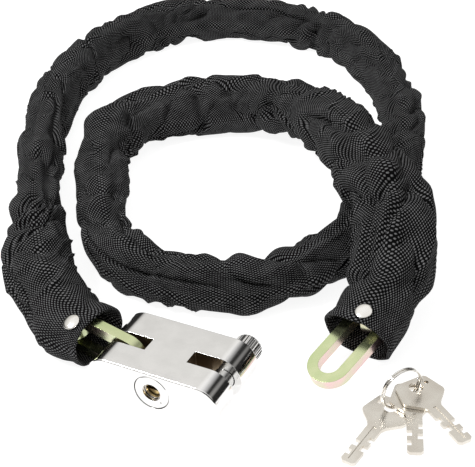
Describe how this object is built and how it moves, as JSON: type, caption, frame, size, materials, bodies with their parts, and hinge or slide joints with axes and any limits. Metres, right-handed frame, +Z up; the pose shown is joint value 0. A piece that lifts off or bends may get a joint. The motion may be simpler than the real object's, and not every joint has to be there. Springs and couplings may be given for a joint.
{
  "type": "chain lock",
  "caption": "Chain lock: square-wire chain in a woven sleeve, held in a stadium-section lock body with a push bolt and key cylinder, with flat keys on a split ring.",
  "frame": {"origin": "centre of the lock body's flat underside, which lies on z = 0", "axes": "+Z up out of the lock body's flat top, +X to the locking bolt's end of the body, -Y out of the key face"},
  "size_m": [0.368, 0.3947, 0.057],
  "materials": {
    "chrome": "polished chrome plate",
    "steel": "bright turned steel",
    "zinc": "yellow-green passivated zinc plate",
    "nickel": "satin nickel plate",
    "brass": "machined brass",
    "weave": "woven black nylon with pale flecks"
  },
  "bodies": {
    "chain": {"sleeve": "weave", "rivet_lock_end": "nickel", "rivet_free_end": "nickel", "chain_link_01": "zinc", "chain_link_02": "zinc", "chain_link_03": "zinc", "chain_link_04": "zinc", "chain_link_05": "zinc", "chain_link_06": "zinc", "chain_link_07": "zinc", "chain_link_08": "zinc", "chain_link_09": "zinc", "chain_link_10": "zinc", "chain_link_11": "zinc", "chain_link_12": "zinc", "chain_link_13": "zinc", "chain_link_14": "zinc", "chain_link_15": "zinc", "chain_link_16": "zinc", "chain_link_17": "zinc", "chain_link_18": "zinc", "chain_link_19": "zinc", "chain_link_20": "zinc", "chain_link_21": "zinc", "chain_link_22": "zinc", "chain_link_23": "zinc", "chain_link_24": "zinc", "chain_link_25": "zinc", "chain_link_26": "zinc", "chain_link_27": "zinc", "chain_link_28": "zinc", "chain_link_29": "zinc", "chain_link_30": "zinc", "chain_link_31": "zinc", "chain_link_32": "zinc", "chain_link_33": "zinc", "chain_link_34": "zinc", "chain_link_35": "zinc", "chain_link_36": "zinc", "chain_link_37": "zinc", "chain_link_38": "zinc", "chain_link_39": "zinc"},
    "lock": {"lock_body": "chrome", "link_pin": "steel", "link_pin_plug": "chrome", "cylinder_housing": "chrome", "cylinder_set_screw": "steel", "core_clip": "steel"},
    "core": {"core": "nickel", "detainer_disc_1": "brass", "detainer_disc_2": "brass", "detainer_disc_3": "brass"},
    "latch": {"latch": "steel"},
    "bolt": {"locking_bolt": "steel", "bolt_knob": "chrome"},
    "end_link": {"chain_link_40": "zinc"},
    "key_ring": {"split_ring": "nickel"},
    "key_top": {"key_top": "nickel"},
    "key_middle": {"key_middle": "nickel"},
    "key_bottom": {"key_bottom": "nickel"}
  },
  "joints": [
    {"name": "lock_swing", "type": "hinge", "parent": "chain", "child": "lock", "pos_m": [-0.024, -0.001, 0.011], "axis": [0, 1, 0], "range_deg": [-90, 90]},
    {"name": "core_turn", "type": "hinge", "parent": "lock", "child": "core", "pos_m": [0, 0, 0.011], "axis": [0, 1, 0], "range_deg": [0, 90]},
    {"name": "latch_slide", "type": "slide", "parent": "lock", "child": "latch", "axis": [1, 0, 0], "range_m": [0, 0.0022]},
    {"name": "bolt_slide", "type": "slide", "parent": "lock", "child": "bolt", "axis": [0, 1, 0], "range_m": [0, 0.027]},
    {"name": "end_link_swing", "type": "hinge", "parent": "chain", "child": "end_link", "pos_m": [0.07368, 0.0618, 0.01543], "axis": [-0.0985, -0.3066, 0.9467], "range_deg": [-12, 20]},
    {"name": "keys_lift", "type": "slide", "parent": "chain", "child": "key_ring", "axis": [0, 0, 1], "range_m": [0, 0.1]},
    {"name": "key_top_fan", "type": "hinge", "parent": "key_ring", "child": "key_top", "pos_m": [0.10772, 0.03748, 0.0056], "axis": [0, 0, 1], "range_deg": [-5, 25]},
    {"name": "key_middle_fan", "type": "hinge", "parent": "key_ring", "child": "key_middle", "pos_m": [0.10706, 0.03625, 0.00355], "axis": [0, 0, 1], "range_deg": [-25, 5]},
    {"name": "key_bottom_fan", "type": "hinge", "parent": "key_ring", "child": "key_bottom", "pos_m": [0.10064, 0.02437, 0.00155], "axis": [0, 0, 1], "range_deg": [-25, 25]}
  ],
  "couplings": [
    {"joint": "latch_slide", "follows": "core_turn", "m_per_rad": 0.0014}
  ]
}
